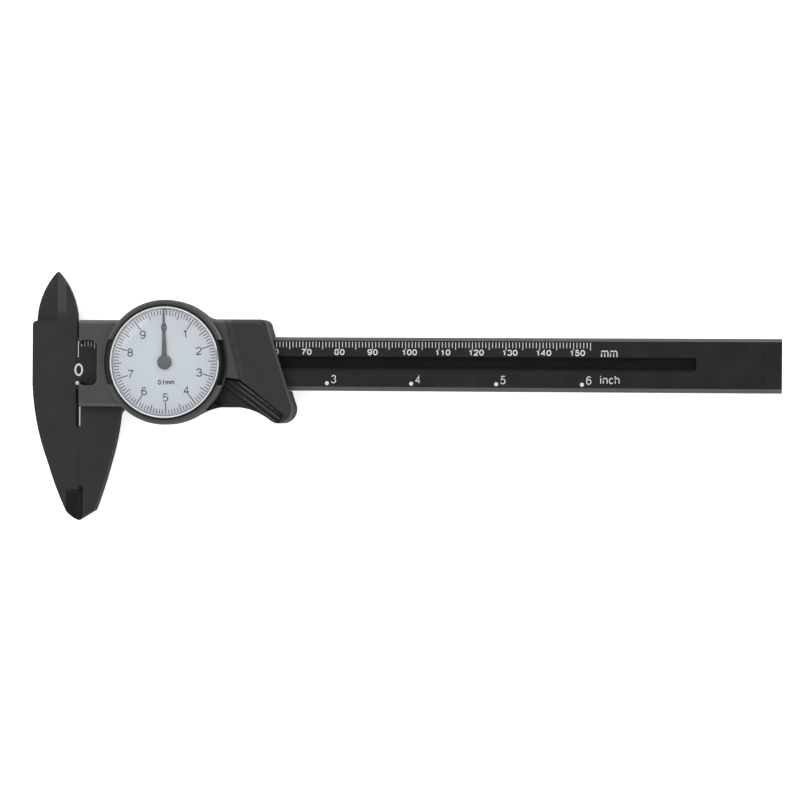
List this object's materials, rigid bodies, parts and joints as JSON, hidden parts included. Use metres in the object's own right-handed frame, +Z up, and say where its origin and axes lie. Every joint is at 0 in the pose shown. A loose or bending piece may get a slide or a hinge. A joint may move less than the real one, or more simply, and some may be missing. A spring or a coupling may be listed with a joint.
{
  "type": "dial caliper",
  "caption": "Sliding caliper in black plastic with outside and inside jaws, a round dial on the slider, a depth rod and a millimetre and inch beam.",
  "frame": {"origin": "middle of the closed tool's box, on the plane that it rests on", "axes": "+X along the beam in the direction that the jaws open, +Y across the beam towards the inside jaws, +Z up out of the dial"},
  "size_m": [0.2252, 0.0754, 0.0125],
  "materials": {
    "moulded_black": "fine moulded texture",
    "cover_grey": "smooth satin moulding",
    "grip_black": "coarse moulded texture",
    "rack_black": "blackened steel",
    "screw_steel": "zinc plated",
    "spring_steel": "bright",
    "rod_steel": "ground",
    "shaft_steel": "polished",
    "brass": "turned",
    "pointer_grey": "satin paint",
    "bezel_black": "glossy moulding",
    "dial_white": "matt white print ground",
    "crystal_clear": "clear"
  },
  "bodies": {
    "beam": {"main_beam": "moulded_black", "rack": "rack_black", "end_stop": "moulded_black", "end_stop_screws": "screw_steel"},
    "slider": {"slider_carriage": "moulded_black", "slider_cover": "cover_grey", "cover_screws": "screw_steel", "thumb_grip": "grip_black", "gib_spring": "spring_steel", "depth_rod": "rod_steel", "depth_rod_screws": "screw_steel", "lower_bush": "brass", "upper_bush": "brass", "movement_plate": "brass", "movement_screws": "screw_steel", "bezel_snap_ring": "spring_steel"},
    "pointer": {"pinion_shaft": "shaft_steel", "drive_pinion": "brass", "pointer_needle": "pointer_grey", "pointer_hub": "pointer_grey"},
    "bezel": {"bezel_ring": "bezel_black", "dial_plate": "dial_white", "crystal": "crystal_clear", "crystal_retaining_ring": "dial_white"}
  },
  "joints": [
    {"name": "slider_slide", "type": "slide", "parent": "beam", "child": "slider", "axis": [1, 0, 0], "range_m": [0, 0.155]},
    {"name": "pointer_turn", "type": "hinge", "parent": "slider", "child": "pointer", "pos_m": [-0.0705, 0.01027, 0], "axis": [0, 0, 1], "range_deg": [-5590, 10]},
    {"name": "bezel_turn", "type": "hinge", "parent": "slider", "child": "bezel", "pos_m": [-0.0705, 0.01027, 0], "axis": [0, 0, 1], "continuous": true}
  ],
  "couplings": [
    {"joint": "pointer_turn", "follows": "slider_slide", "rad_per_m": -628.32}
  ]
}
